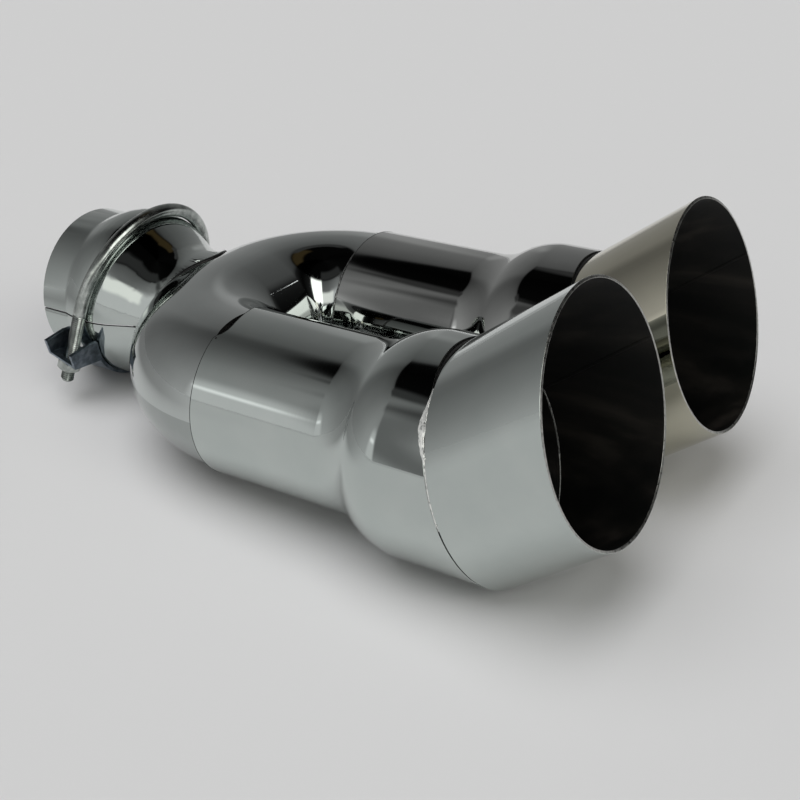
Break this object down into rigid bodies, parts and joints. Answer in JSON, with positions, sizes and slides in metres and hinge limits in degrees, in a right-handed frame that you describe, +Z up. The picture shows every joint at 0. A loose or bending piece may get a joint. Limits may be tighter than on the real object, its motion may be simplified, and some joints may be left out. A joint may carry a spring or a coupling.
{
  "type": "exhaust tip",
  "caption": "Twin-outlet exhaust tip: a clamped inlet feeds a U-shaped bend and parallel slash-cut flared outlets.",
  "frame": {"origin": "centre of the inlet mouth, in the plane of its rim", "axes": "+X from the inlet towards the outlets, +Z up on the slash-cut side, +Y towards the shorter outlet"},
  "size_m": [0.3073, 0.193, 0.122],
  "materials": {
    "polished_steel": "mirror-polished stainless steel tube",
    "weld_steel": "polished-over weld bead",
    "zinc_bolt": "bright zinc-plated steel, lightly tarnished",
    "zinc_saddle": "dull zinc-plated pressed steel"
  },
  "bodies": {
    "root": {"clamp_saddle": "zinc_saddle", "far_nut": "zinc_bolt", "far_sleeve": "polished_steel", "far_sleeve_weld": "weld_steel", "far_tip": "polished_steel", "far_tip_weld": "weld_steel", "inlet_tube": "polished_steel", "inlet_weld": "weld_steel", "lower_bend_shell": "polished_steel", "near_nut": "zinc_bolt", "near_sleeve": "polished_steel", "near_sleeve_weld": "weld_steel", "near_tip": "polished_steel", "near_tip_weld": "weld_steel", "u_bolt": "zinc_bolt", "upper_bend_shell": "polished_steel"}
  },
  "joints": []
}
